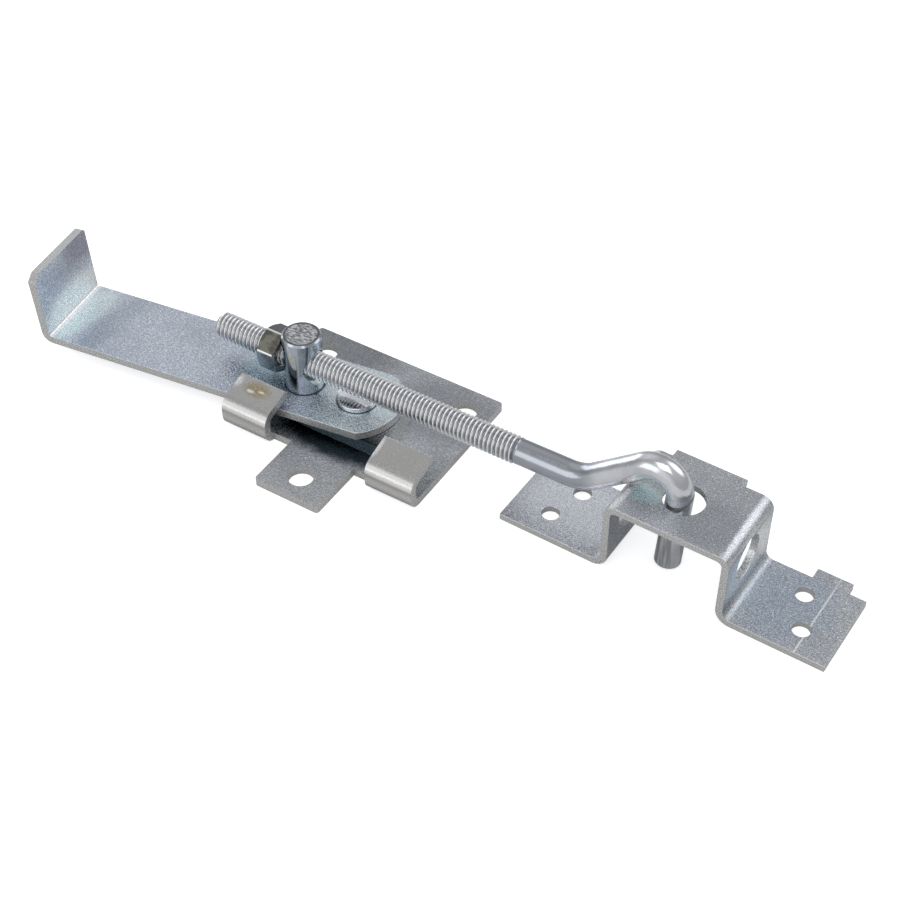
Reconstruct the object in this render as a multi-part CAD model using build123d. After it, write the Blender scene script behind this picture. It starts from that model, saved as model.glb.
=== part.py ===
"""Jamb latch: a lever, swivel post and hook rod on a jamb plate, with its keeper.

Each piece is one solid, in millimetres, and goes to parts/NAME.step.
The origin is on the plate's mounting plane, under the lever's pivot.
+X runs along the rod to the keeper, +Y to the back and +Z up off the plate.
"""

import os
from math import copysign, cos, radians, sin, sqrt, tan

from build123d import *

# Clearances
RUNNING_FIT = 0.05  # radial, a turning shaft in its hole
FACE_GAP = 0.1  # between two flat faces that turn on each other
SEAT_GAP = 0.2  # between pieces that only rest against each other
CUT = 1.0  # how far a cutting tool runs past the face it cuts

# Base plate
PLATE_T = 3.0
PLATE_W = 76.0
PLATE_X = 1.1  # the plate's middle, to the right of the pivot
PLATE_BACK = 30.5
PLATE_FRONT = 22.8
PLATE_CORNER_R = 1.2
TAB_W = 25.2
TAB_FRONT = 43.6
SCREW_HOLE_D = 8.7
BACK_HOLE_SPACING = 57.8
BACK_HOLE_Y = 20.4
FRONT_HOLE_Y = 34.9

# Ears of the plate, curled up and back over the lever's edge
EAR_W = 18.0
EAR_FRONT = 27.1
EAR_KNEE_Z = 10.6  # mid sheet, where the wall turns into the lip
EAR_LIP = 11.9  # length of the lip, from that knee
EAR_LIP_RISE = 16.0  # degrees
EAR_BEND_R = 3.5  # mid sheet

# Platform pressed up out of the plate, under the lever
PLATFORM_RISE = 3.3
PLATFORM_BACK = 13.0
PLATFORM_FRONT = 13.0
PLATFORM_HALF_W = 15.4  # at the pivot
PLATFORM_FLARE = 0.243  # half width gained for each mm towards the front
PLATFORM_RAMP = 1.5
PLATFORM_INSET = 1.5  # the hollow's foot, inside the platform's own

# Pivot rivet
RIVET_D = 9.5
RIVET_HEAD_D = 13.9
RIVET_HEAD_H = 2.0
RIVET_EDGE_H = 1.4
RIVET_TAIL_D = 14.0
RIVET_TAIL_H = 2.2

# Lever
LEVER_T = 3.1
LEVER_W = 31.2
LEVER_TURN = 7.7  # degrees, the left end towards the front
LEVER_SHIFT = 0.5  # its middle line, behind the pivot
LEVER_REACH = 113.5  # from the pivot to the finger tab's inner face
LEVER_END = 15.4  # from the pivot to the rounded end
LEVER_END_R = 18.25
TAB_H = 25.2  # the finger tab, along its inner face
TAB_LEAN = 3.5  # degrees out of upright
TAB_BEND_R = 2.5  # mid sheet
TAB_CUT_FRONT = (3.2, 2.2)  # clipped corner: across, down
TAB_CUT_BACK = (1.2, 1.0)

# Swivel post
POST_D = 13.5
POST_H = 21.4
POST_OUT = 20.2  # from the pivot, along the lever
POST_CHAMFER = 0.6
STEM_D = 9.0
STEM_TAIL_D = 12.5
STEM_TAIL_RIM = 0.4
CROSS_HOLE_Z = 19.5
CROSS_HOLE_D = 11.2
CROSS_SINK_D = 14.8
CROSS_SINK_ANGLE = 100.0  # degrees

# Hook rod
ROD_Z = 20.1
ROD_TURN = 0.2  # degrees, the hook end towards the back
THREAD_D = 9.45
SHANK_D = 8.65
ROD_LEFT = 34.4  # from the post to the cut end
THREAD_RIGHT = 83.2  # from the post to the thread's last turn
THREAD_RUNOUT = 1.6
THREAD_PITCH = 1.5875
THREAD_DEPTH = 0.9
THREAD_CREST = 0.2  # flat left on each crest
INCLINE_X = 107.5  # from the post to the corner of the first bend
INCLINE_RISE = 39.0  # degrees
INCLINE_R = 15.0
INCLINE_LENGTH = 20.1  # straight part between the two bends
HOOK_R = 7.95
LEG_LEAN = 3.0  # degrees back towards the post, at its foot
FOOT_GAP = 0.3  # from the cut end of the hook to the mounting plane
THREAD_CHAMFER = 1.1
FOOT_CHAMFER = 0.5

# Hex nut
NUT_FLATS = 14.29
NUT_T = 7.2
NUT_TURN = 6.8  # degrees, its top corner towards the front
NUT_CHAMFER = 30.0  # degrees
NUT_SINK = 0.5

# Keeper
STRIP_T = 2.5
STRIP_W = 30.4
KEEPER_TURN = -1.3  # degrees
KEEPER_X = 120.4  # the keeper's middle, near the hat's hole
KEEPER_Y = -0.4
HAT_Z = 27.8
HAT_LEFT = 18.7  # from the keeper's middle to the outer face of each wall
HAT_RIGHT = 23.9
FLANGE_LEFT = 55.5  # from the keeper's middle to each end of the strip
FLANGE_RIGHT = 58.0
FOOT_BEND_R = 4.1  # mid sheet
HAT_BEND_R = 3.1
HAT_HOLE_D = 13.5
HAT_HOLE_X = 0.65  # from the keeper's middle
HAT_HOLE_Y = 0.2
WALL_HOLE_D = 14.8
WALL_HOLE_Y = -1.0
WALL_HOLE_Z = 17.0
FLANGE_HOLE_D = 6.0
FLANGE_HOLES = ((-41.9, -5.9), (-37.8, 7.4), (40.9, 7.5), (46.0, -5.7))
HAT_STEP = (-11.4, 13.1, 3.0)  # tab on the back edge: its two ends, and how far it stands out
FLANGE_STEP = (39.8, 51.9, 4.3)

# Places worked out from the sizes above
PLATFORM_Z = PLATE_T + PLATFORM_RISE
LEVER_Z = PLATFORM_Z + FACE_GAP
LEVER_TOP = LEVER_Z + LEVER_T
LEVER_PLACE = Rot(0, 0, LEVER_TURN)
POST_POINT = LEVER_PLACE * Pos(-POST_OUT, LEVER_SHIFT, 0)
POST_X = POST_POINT.position.X
POST_Y = POST_POINT.position.Y
POST_Z = LEVER_TOP + FACE_GAP
ROD_PLACE = Pos(POST_X, POST_Y, ROD_Z) * Rot(0, 0, ROD_TURN)
KEEPER_PLACE = Pos(KEEPER_X, KEEPER_Y, 0) * Rot(0, 0, KEEPER_TURN)


def hole(x, y, diameter, bottom, top):
    """Upright cylinder that cuts a hole from below one height to above another."""
    deep = top - bottom + 2 * CUT
    return Pos(x, y, (bottom + top) / 2) * Cylinder(diameter / 2, deep)


def disc(profile):
    """Solid turned about Z from (radius, height) points."""
    return revolve(Plane.XZ * make_face(Polyline(*profile, close=True)), Axis.Z)


def bent_strip(corners, radii, thick, width):
    """Sheet of one width along X-Z corners, each inner corner rounded at mid sheet."""
    line = Polyline(*corners)
    for corner, radius in zip(corners[1:-1], radii):
        line = fillet(line.vertices().sort_by_distance(corner)[0], radius)
    return extrude(Plane.XZ * trace(line, thick), width / 2, both=True)


def slab(width, front, back):
    """Flat block of the plate's thickness, from one Y to another."""
    return Pos(PLATE_X, (front + back) / 2, PLATE_T / 2) * Box(width, back - front, PLATE_T)


def platform(back, front, half_width, ramp, bottom, top):
    """Flat-topped block, flared to the front, with sloping sides."""
    faces = []
    for grow, z in ((ramp, bottom), (0.0, top)):
        wide = half_width + PLATFORM_FLARE * front + grow
        slim = half_width - PLATFORM_FLARE * back + grow
        corners = (
            (-wide, -front - grow),
            (wide, -front - grow),
            (slim, back + grow),
            (-slim, back + grow),
        )
        faces.append(Pos(PLATE_X, 0, z) * make_face(Polyline(*corners, close=True)))
    return loft(faces)


def ear():
    """One curled ear, its foot in the plate and its lip leaning back over the lever."""
    mid = PLATE_T / 2
    wall = -(EAR_FRONT - mid)
    rise = radians(EAR_LIP_RISE)
    tip = (wall + EAR_LIP * cos(rise), EAR_KNEE_Z + EAR_LIP * sin(rise))
    foot = (wall + EAR_BEND_R + 2 * PLATE_T, mid)
    corners = (foot, (wall, mid), (wall, EAR_KNEE_Z), tip)
    return Rot(0, 0, 90) * bent_strip(corners, (EAR_BEND_R,) * 2, PLATE_T, EAR_W)


def base_plate():
    """Stamped plate with its tab, ears, screw holes and raised platform."""
    bend_start = EAR_FRONT - PLATE_T / 2 - EAR_BEND_R
    body = slab(PLATE_W, -bend_start, PLATE_BACK)
    plate = fillet(body.edges().filter_by(Axis.Z).group_by(Axis.Y)[-1], PLATE_CORNER_R)
    plate += slab(PLATE_W - 2 * EAR_W, -PLATE_FRONT, 0)
    tab = slab(TAB_W, -TAB_FRONT, 0)
    plate += fillet(tab.edges().filter_by(Axis.Z).group_by(Axis.Y)[0], PLATE_CORNER_R)
    for side in (-1, 1):
        plate += Pos(PLATE_X + side * (PLATE_W - EAR_W) / 2, 0, 0) * ear()
    raised = (PLATFORM_BACK, PLATFORM_FRONT, PLATFORM_HALF_W, PLATFORM_RAMP)
    hollow = [size - PLATFORM_INSET for size in raised[:3]]
    plate += platform(*raised, PLATE_T, PLATFORM_Z)
    plate -= platform(*hollow, PLATFORM_RAMP, 0, PLATFORM_RISE)
    plate -= hole(0, 0, RIVET_D, 0, PLATFORM_Z)
    plate -= hole(PLATE_X, -FRONT_HOLE_Y, SCREW_HOLE_D, 0, PLATE_T)
    for side in (-1, 1):
        x = PLATE_X + side * BACK_HOLE_SPACING / 2
        plate -= hole(x, BACK_HOLE_Y, SCREW_HOLE_D, 0, PLATE_T)
    return plate


def pivot_rivet():
    """Rivet with a low domed head over the lever and a spun tail in the platform's hollow."""
    seat = LEVER_TOP + FACE_GAP
    tail = PLATFORM_RISE - RIVET_TAIL_H
    head = RIVET_HEAD_D / 2
    shank = RIVET_D / 2
    side = Polyline(
        (0, seat + RIVET_HEAD_H),
        (0, tail),
        (RIVET_TAIL_D / 2 - RIVET_TAIL_H / 2, tail),
        (RIVET_TAIL_D / 2, PLATFORM_RISE),
        (shank, PLATFORM_RISE),
        (shank, seat),
        (head, seat),
        (head, seat + RIVET_EDGE_H),
    )
    dome = TangentArc(side @ 0, side @ 1, tangent=(1, 0))
    return revolve(Plane.XZ * make_face(side + dome), Axis.Z)


def lever():
    """Flat strip with a rounded right end, folded up into the finger tab on the left."""
    mid = LEVER_T / 2
    lean = radians(TAB_LEAN)
    fold = mid * tan((radians(90) - lean) / 2)
    corner = -(LEVER_REACH + fold)
    length = TAB_H + fold
    tip = (corner - length * sin(lean), LEVER_Z + mid + length * cos(lean))
    corners = ((LEVER_END, LEVER_Z + mid), (corner, LEVER_Z + mid), tip)
    strip = bent_strip(corners, (TAB_BEND_R,), LEVER_T, LEVER_W)
    deep = 2 * (LEVER_TOP + CUT)
    rounded = Pos(LEVER_END - LEVER_END_R, 0, 0) * Cylinder(LEVER_END_R, deep)
    left = Box(2 * LEVER_REACH, 2 * LEVER_W, 4 * TAB_H, align=(Align.MAX, Align.CENTER, Align.CENTER))
    strip &= rounded + Pos(LEVER_END - LEVER_END_R, 0, 0) * left
    for side, (across, down) in ((-1, TAB_CUT_FRONT), (1, TAB_CUT_BACK)):
        strip -= clipped_corner(tip, side * LEVER_W / 2, -side * across, down)
    strip = Pos(0, LEVER_SHIFT, 0) * strip
    strip -= hole(0, 0, RIVET_D + 2 * RUNNING_FIT, LEVER_Z, LEVER_TOP)
    strip -= Pos(-POST_OUT, LEVER_SHIFT, 0) * stem(RUNNING_FIT, LEVER_Z - CUT, LEVER_TOP + CUT)
    return LEVER_PLACE * strip


def clipped_corner(tip, edge, across, down):
    """Wedge that clips one top corner of the finger tab, across its whole thickness."""
    past = copysign(CUT, edge)
    points = (
        (edge + past, CUT),
        (edge + across, CUT),
        (edge + across, 0),
        (edge, -down),
        (edge + past, -down),
    )
    face = make_face(Polyline(*points, close=True))
    place = Pos(tip[0], 0, tip[1]) * Rot(0, -TAB_LEAN, 0)
    return place * extrude(Plane.YZ * face, LEVER_T, both=True)


def stem(grow, bottom, top):
    """Stem of the post through the lever, its peened tail sunk flush in the lever."""
    shank = STEM_D / 2 + grow
    tail = STEM_TAIL_D / 2 + grow
    rim = LEVER_Z + STEM_TAIL_RIM
    profile = (
        (0, bottom),
        (tail, bottom),
        (tail, rim),
        (shank, rim + tail - shank),
        (shank, top),
        (0, top),
    )
    return disc(profile)


def swivel_post():
    """Turned post with a countersunk cross hole for the rod."""
    body = Pos(0, 0, POST_Z) * Cylinder(POST_D / 2, POST_H, align=(Align.CENTER, Align.CENTER, Align.MIN))
    body = chamfer(body.edges().group_by(Axis.Z)[-1], POST_CHAMFER)
    body += stem(0, LEVER_Z, POST_Z)
    through = POST_D / 2 + CUT
    cut = Cylinder(CROSS_HOLE_D / 2, 2 * through)
    slope = tan(radians(CROSS_SINK_ANGLE / 2))
    mouth = CROSS_SINK_D / 2 + CUT * slope
    deep = mouth / slope
    for side in (-1, 1):
        sink = Cone(0, mouth, deep, align=(Align.CENTER, Align.CENTER, Align.MAX))
        cut += Rot(90 - 90 * side, 0, 0) * Pos(0, 0, through) * sink
    body -= Pos(0, 0, CROSS_HOLE_Z) * Rot(0, 90, 0) * cut
    return Pos(POST_X, POST_Y, 0) * Rot(0, 0, ROD_TURN) * body


def rod_line():
    """Middle line of the plain rod: shank, first bend, incline, hook bend and leg."""
    first_turn = INCLINE_RISE
    hook_turn = INCLINE_RISE + 90 + LEG_LEAN
    bend_start = INCLINE_X - INCLINE_R * tan(radians(first_turn / 2))
    straight = Line((THREAD_RIGHT, 0), (bend_start, 0))
    bend = JernArc(straight @ 1, straight % 1, INCLINE_R, first_turn)
    incline = Line(bend @ 1, (bend @ 1) + (bend % 1) * INCLINE_LENGTH)
    hook = JernArc(incline @ 1, incline % 1, HOOK_R, -hook_turn)
    fall = ROD_Z + (hook @ 1).Y - FOOT_GAP - SHANK_D / 2 * sin(radians(LEG_LEAN))
    leg = Line(hook @ 1, (hook @ 1) + (hook % 1) * (fall / cos(radians(LEG_LEAN))))
    return Plane.XZ * (straight + bend + incline + hook + leg)


def thread_ridges(start, end):
    """Profile of the thread as level ridges, one for each pitch, from one flat crest to the last."""
    crest = THREAD_D / 2
    root = crest - THREAD_DEPTH
    turns = int((end - start - THREAD_CREST) / THREAD_PITCH)
    points = [(crest, start)]
    for turn in range(turns):
        z = start + THREAD_CREST + turn * THREAD_PITCH
        valley = z + (THREAD_PITCH - THREAD_CREST) / 2
        points += [(crest, z), (root, valley), (crest, z + THREAD_PITCH - THREAD_CREST)]
    return points + [(crest, end)]


def hook_rod():
    """Bent rod, with ridges for its thread and a slimmer shank and hook."""
    line = rod_line()
    start = Plane(origin=(THREAD_RIGHT, 0, 0), z_dir=(1, 0, 0))
    rod = sweep(start * Circle(SHANK_D / 2), path=line)
    foot = rod.faces().sort_by(Axis.Z)[0]
    rod = chamfer(foot.edges(), FOOT_CHAMFER)
    thread = THREAD_D / 2
    shank = SHANK_D / 2
    turned = [
        (0, -ROD_LEFT),
        (thread - THREAD_CHAMFER, -ROD_LEFT),
        *thread_ridges(THREAD_CHAMFER - ROD_LEFT, THREAD_RIGHT),
        (shank, THREAD_RIGHT + THREAD_RUNOUT),
        (0, THREAD_RIGHT + THREAD_RUNOUT),
    ]
    rod += Rot(0, 90, 0) * disc(turned)
    return ROD_PLACE * rod


def hex_nut():
    """Nut with both faces chamfered, its right face against the post."""
    thick = NUT_T
    body = extrude(RegularPolygon(NUT_FLATS / 2, 6, major_radius=False), thick)
    corner = NUT_FLATS / sqrt(3)
    drop = (corner - NUT_FLATS / 2) * tan(radians(NUT_CHAMFER))
    body &= disc(
        (
            (0, 0),
            (NUT_FLATS / 2, 0),
            (corner, drop),
            (corner, thick - drop),
            (NUT_FLATS / 2, thick),
            (0, thick),
        )
    )
    bore = THREAD_D / 2 + RUNNING_FIT
    body -= disc(
        (
            (0, -CUT),
            (bore + NUT_SINK + CUT, -CUT),
            (bore, NUT_SINK),
            (bore, thick - NUT_SINK),
            (bore + NUT_SINK + CUT, thick + CUT),
            (0, thick + CUT),
        )
    )
    seat = -(POST_D / 2 + SEAT_GAP)
    return ROD_PLACE * Pos(seat, 0, 0) * Rot(NUT_TURN, 0, 0) * Rot(0, -90, 0) * body


def keeper():
    """Hat-shaped strip with holes in its top, walls and flanges and two edge tabs."""
    mid = STRIP_T / 2
    left = -(HAT_LEFT - mid)
    right = HAT_RIGHT - mid
    corners = (
        (-FLANGE_LEFT, mid),
        (left, mid),
        (left, HAT_Z - mid),
        (right, HAT_Z - mid),
        (right, mid),
        (FLANGE_RIGHT, mid),
    )
    radii = (FOOT_BEND_R, HAT_BEND_R, HAT_BEND_R, FOOT_BEND_R)
    strip = bent_strip(corners, radii, STRIP_T, STRIP_W)
    for (start, end, out), top in ((HAT_STEP, HAT_Z), (FLANGE_STEP, STRIP_T)):
        step = Box(end - start, out + CUT, STRIP_T, align=(Align.MIN, Align.MAX, Align.MAX))
        strip += Pos(start, STRIP_W / 2 + out, top) * step
    strip -= hole(HAT_HOLE_X, HAT_HOLE_Y, HAT_HOLE_D, HAT_Z - STRIP_T, HAT_Z)
    for x, y in FLANGE_HOLES:
        strip -= hole(x, y, FLANGE_HOLE_D, 0, STRIP_T)
    across = Rot(0, 90, 0) * Cylinder(WALL_HOLE_D / 2, 2 * (HAT_RIGHT + CUT))
    strip -= Pos(0, WALL_HOLE_Y, WALL_HOLE_Z) * across
    return KEEPER_PLACE * strip


def main():
    """Build every piece and write its STEP file."""
    os.makedirs("parts", exist_ok=True)
    pieces = (base_plate, pivot_rivet, lever, swivel_post, hook_rod, hex_nut, keeper)
    for piece in pieces:
        export_step(piece(), f"parts/{piece.__name__}.step")


main()
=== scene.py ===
"""Looks of the jamb latch: zinc plated sheet pieces, a threaded hook rod, its nut, post and rivet."""

import math

import bmesh
import bpy
import numpy as np
from mathutils import Matrix, Vector


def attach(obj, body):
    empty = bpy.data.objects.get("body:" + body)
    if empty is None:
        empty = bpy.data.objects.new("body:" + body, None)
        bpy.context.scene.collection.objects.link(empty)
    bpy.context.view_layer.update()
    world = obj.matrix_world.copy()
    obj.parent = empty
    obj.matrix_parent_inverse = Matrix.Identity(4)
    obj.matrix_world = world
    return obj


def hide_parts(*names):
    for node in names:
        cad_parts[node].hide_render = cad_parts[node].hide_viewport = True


bl_info = {
    "name": "Jamb latch looks",
    "version": (1, 0, 0),
    "blender": (4, 5, 0),
    "location": "View3D > Sidebar > Latch",
    "description": "Builds the jamb latch's visible pieces and its studio on the packed frame",
    "category": "Object",
}

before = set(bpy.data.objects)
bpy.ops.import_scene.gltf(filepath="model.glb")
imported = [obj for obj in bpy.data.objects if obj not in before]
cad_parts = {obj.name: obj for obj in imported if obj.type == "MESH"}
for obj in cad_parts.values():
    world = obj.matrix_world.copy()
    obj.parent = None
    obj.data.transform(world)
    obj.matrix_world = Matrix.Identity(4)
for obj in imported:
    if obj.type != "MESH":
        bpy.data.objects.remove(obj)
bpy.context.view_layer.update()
MM = 0.001  # metres

# The post and the rod that runs through it, as in the part's source
POST_X = -20.085 * MM
POST_Y = -2.211 * MM
POST_R = 13.5 / 2 * MM
ROD_Z = 20.1 * MM
ROD_TURN = math.radians(0.2)
ROD_LEFT = 34.4 * MM  # from the post to the cut end
THREAD_RIGHT = 83.2 * MM
THREAD_RUNOUT = 1.6 * MM
THREAD_R = 9.45 / 2 * MM
SHANK_R = 8.65 / 2 * MM
THREAD_CHAMFER = 1.1 * MM
FOOT_CHAMFER = 0.5 * MM
FOOT_GAP = 0.3 * MM
INCLINE_X = 107.5 * MM
INCLINE_RISE = math.radians(39.0)
INCLINE_R = 15.0 * MM
INCLINE_LENGTH = 20.1 * MM
HOOK_R = 7.95 * MM
LEG_LEAN = math.radians(3.0)

# The nut, against the post's left side
NUT_RIGHT = -6.95 * MM
NUT_T = 7.2 * MM
NUT_FLATS = 14.29 * MM
NUT_TURN = math.radians(6.8)
NUT_CHAMFER = math.radians(30.0)
NUT_SINK = 0.5 * MM
NUT_BORE_R = THREAD_R + 0.05 * MM
NUT_CORNER_R = 0.985 * NUT_FLATS / math.sqrt(3)  # worn a little below the hexagon's own
NUT_GLINT = (0.985, 0.998)  # where the bright corners begin and are full, as shares of that radius

# The sheet pieces: turns of the two strips about Z, and places of their marks
LEVER_TURN = math.radians(7.7)
KEEPER_TURN = math.radians(-1.3)
PLATE_T = 3.0 * MM
STRIP_T = 2.5 * MM
FOLD_X = -112.6 * MM  # the lever's fold under its finger tab
SCRIBE_X = 168.2 * MM  # the keeper's scribed line
EAR_BACK = -15.0 * MM  # the ears' own colour ends here
EAR_KNEE_Z = 9.6 * MM  # the bend between an ear's wall and its lip
EAR_FOOT_SHADE = (3.2 * MM, 5.2 * MM)  # heights between which the painted shade at the foot of a wall fades out
EAR_SHADE = (5.8 * MM, 8.2 * MM)  # heights between which the wall darkens again
EAR_GLINT = (0.5 * MM, 1.4 * MM)  # reach of the bright line on each side of the knee
EAR_SPLIT = (-22.0 * MM, -20.5 * MM)  # where the left ear's plating gives way to the rest

# The post's cross hole: heights between which its painted highlight inside begins and ends
HOLE_FOOT = (10.5 * MM, 11.0 * MM)
HOLE_TOP = (30.0 * MM, 30.4 * MM)

# The rivet's head, over the lever
LEVER_TOP = 9.5 * MM
RIVET_SEAT = 9.6 * MM
RIVET_R = 9.5 / 2 * MM
RIVET_HEAD_R = 13.9 / 2 * MM
RIVET_HEAD_H = 2.0 * MM
RIVET_EDGE_H = 1.5 * MM
RIVET_RIM = 0.7 * MM
RIVET_TAIL_R = 7.0 * MM
RIVET_TAIL_Z = 1.1 * MM
RIVET_TAIL_SLOPE = 1.1 * MM
HOLLOW_Z = 3.3 * MM
TIP_R = 0.02 * MM  # least radius, so that no ring shrinks to a point

# How the meshes are made
MERGE_DISTANCE = 0.001 * MM
FLAT_ANGLE = math.radians(0.5)
SHARP_ANGLE = math.radians(30)
BEVEL_ANGLE = math.radians(35)
BEVEL_SEGMENTS = 3
POST_EDGE_ROUND = 0.15 * MM
FACING = 0.85  # least share of a normal that looks along a direction
UPRIGHT = 0.2  # most upward share of the normal of an upright face
ROD_SIDES = 48
TURN_RINGS = 14  # rings in one turn of the thread
BENT_RINGS = 260  # rings past the thread
LINE_STEPS = 20001  # steps of the rod's middle line
NUT_SIDES = 180
NUT_RINGS = 33
RIVET_SIDES = 96

# Stains and painted light and shade on the plating: centre and reach in millimetres along X, Y and Z, colour
# and strength
EAR_STAINS_AND_HIGHLIGHTS = (
    ((-28, -18, 13), (7, 4, 5), (0.40, 0.33, 0.18), 0.8),
    # painted highlights on the near lip and on the left ends of both lips
    ((-30, -19.5, 12), (2.2, 0.9, 5), (1.0, 1.0, 0.97), 0.95),
    ((-26, -18.4, 12), (2.0, 0.7, 5), (1.0, 1.0, 0.97), 0.95),
    ((-36.6, -17, 12.5), (3.0, 4, 4), (1.0, 1.0, 1.0), 0.95),
    ((21.4, -18, 12.5), (1.6, 7, 4), (1.0, 1.0, 1.0), 0.95),
)
PLATE_STAINS_AND_SHADOW = (
    ((-28, 26, 3), (36, 13, 6), (0.26, 0.27, 0.29), 0.9),
    ((24, 16, 3), (28, 20, 4), (0.32, 0.33, 0.36), 0.8),
    ((4, -36, 3), (26, 12, 4), (0.46, 0.47, 0.48), 0.7),
    ((36, -12, 3), (14, 14, 4), (0.40, 0.42, 0.44), 0.7),
    # painted shadow under the lever, between the ears
    ((0, -15, 3), (34, 11, 14), (0.015, 0.03, 0.04), 0.97),
)
LEVER_STAINS_AND_LIGHT = (
    ((-96, -13, 9), (6, 26, 4), (0.40, 0.46, 0.54), 0.5),
    # painted highlights along the tab's fold
    ((-108, -15, 10), (8, 24, 4), (0.80, 0.94, 1.0), 0.85),
    ((-114, -15, 14), (6, 24, 9), (0.88, 0.98, 1.0), 0.95),
    # painted shade on the upright tab
    ((-117, -22, 27), (6, 18, 10), (0.34, 0.40, 0.46), 0.85),
    ((-117, -2, 32), (8, 18, 12), (0.30, 0.31, 0.37), 0.9),
    # painted light teal reflection over the middle of the lever
    ((2, -2, 9), (22, 26, 4), (0.78, 0.92, 1.0), 0.6),
    # painted highlights along the lever's right front edge
    ((12.3, -6.8, 9.5), (5.0, 1.6, 3), (1.0, 1.0, 1.0), 0.95),
    ((14.8, -4.5, 9.5), (1.6, 3.0, 3), (1.0, 1.0, 1.0), 0.8),
    # painted teal shade by the post's foot
    ((-32, -2, 9), (16, 24, 4), (0.36, 0.50, 0.57), 0.7),
)
KEEPER_STAINS_AND_LIGHT = (
    ((84, 0, 2), (26, 24, 5), (0.80, 0.83, 0.90), 0.8),
    ((132, -6, 28), (20, 14, 5), (0.34, 0.36, 0.39), 0.7),
    # painted light on the keeper's right wall
    ((144, 0, 13), (5, 20, 16), (0.90, 0.98, 1.0), 0.85),
    # painted teal shadow of the hook on the hat top
    ((109, -4.5, 28), (9, 5, 4), (0.66, 0.86, 0.88), 0.85),
    # painted highlights along the hat's two top bends
    ((104, 0, 27), (3.0, 22, 4), (1.0, 1.0, 1.0), 0.95),
    ((141.8, 0, 27), (1.8, 22, 4), (0.90, 0.88, 0.98), 0.7),
    ((158, 0, 2), (20, 22, 4), (0.41, 0.47, 0.55), 0.8),
)
LIP_COLOUR = (0.47, 0.465, 0.455)
WALL_COLOUR = (0.62, 0.61, 0.59)
# painted highlight along the ears' bends
BEND_HIGHLIGHT_COLOUR = (0.85, 0.83, 0.80)
# painted shade on the nut's upper faces: olive at the front, navy on the top and back
OLIVE_SHADE_COLOUR = (0.13, 0.125, 0.10)
NAVY_SHADE_COLOUR = (0.12, 0.125, 0.16)
# painted contact shadow round the post and the rivet
SHADOW_COLOUR = (0.02, 0.03, 0.04)
# painted highlights on the lever's fold and the nut's corners, and the keeper's light scribed line
HIGHLIGHT_AND_SCRIBE_COLOUR = (0.9, 0.9, 0.92)
# painted shade in the thread's roots
ROOT_SHADE_COLOUR = (0.14, 0.14, 0.15)
SHANK_COLOUR = (0.31, 0.33, 0.37)
# near-white colour of the threaded length: painted highlight on its crests
CREST_HIGHLIGHT_COLOUR = (0.93, 0.94, 0.96)
POST_COLOURS = ((0.36, 0.40, 0.45), (0.47, 0.51, 0.56))
# painted highlight inside the post's cross hole
HOLE_HIGHLIGHT_COLOUR = (0.86, 0.95, 0.95)

# Finish of the sheets
SPARK_TONE = 1.8  # times the plating's colour
STAIN_SPARK_TONE = 1.7
EDGE_METAL_LOSS = 0.45
EDGE_SMOOTHNESS = 0.7
EAR_SMOOTHNESS = 0.75
GRAIN_DEPTH = 0.065 * MM
CONTACT_SHADOW_STRENGTH = 0.85  # of the painted contact shadows round the post and the rivet

# Camera, fitted to the photograph's edges
CAMERA_AZIMUTH = math.radians(32.4697)
CAMERA_ELEVATION = math.radians(44.3517)
CAMERA_ROLL = math.radians(-0.3236)
CAMERA_TARGET = Vector((40.80, -6.23, 12.0)) * MM
CAMERA_DISTANCE = 559.41 * MM
CAMERA_LENS = 68.855

# Light: sky tones against the sine of the elevation, glows and shades on it, and soft lights
SKY_TONES = ((0.0, 0.42), (0.6, 0.40), (1.0, 0.58))
SKY_GLOWS = (
    ((-0.20, 0.97, 0.00), (0.60, 0.92), -0.28),
    ((-0.30, -0.93, 0.15), (0.55, 0.95), 0.42),
    ((-0.93, 0.36, 0.00), (0.90, 0.98), 1.50),
    ((-0.72, 0.42, 0.55), (0.80, 0.99), 0.30),
    ((0.44, 0.63, 0.64), (0.88, 0.98), 1.20),
)
GLOW_TINT = (0.96, 1.0, 1.05)
BACKDROP = (0.96, 0.96, 0.96)
FLOOR_GLOW = 0.66
FLOOR_HALF = 3.0
FLOOR_DROP = 0.02 * MM
SOFT_LIGHTS = (
    ("over light", (0.3, -0.6, 1.7), 1.2, 7.0),
    ("front light", (-0.9, -1.9, 0.85), 1.6, 6.0),
)


class LatchSizes(bpy.types.PropertyGroup):
    """Sizes of the details that the looks add to the solids."""

    edge_round: bpy.props.FloatProperty(
        name="Edge rounding",
        description="Width of the rounding on the edges of the sheet pieces",
        default=0.28 * MM,
        min=0.05 * MM,
        max=0.6 * MM,
        subtype="DISTANCE",
        unit="LENGTH",
    )
    thread_pitch: bpy.props.FloatProperty(
        name="Thread pitch",
        description="Distance from one turn of the rod's thread to the next",
        default=1.5875 * MM,
        min=0.5 * MM,
        max=3 * MM,
        subtype="DISTANCE",
        unit="LENGTH",
    )
    thread_depth: bpy.props.FloatProperty(
        name="Thread depth",
        description="Depth of the rod's thread from crest to root",
        default=0.9 * MM,
        min=0.2 * MM,
        max=1.5 * MM,
        subtype="DISTANCE",
        unit="LENGTH",
    )


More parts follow.
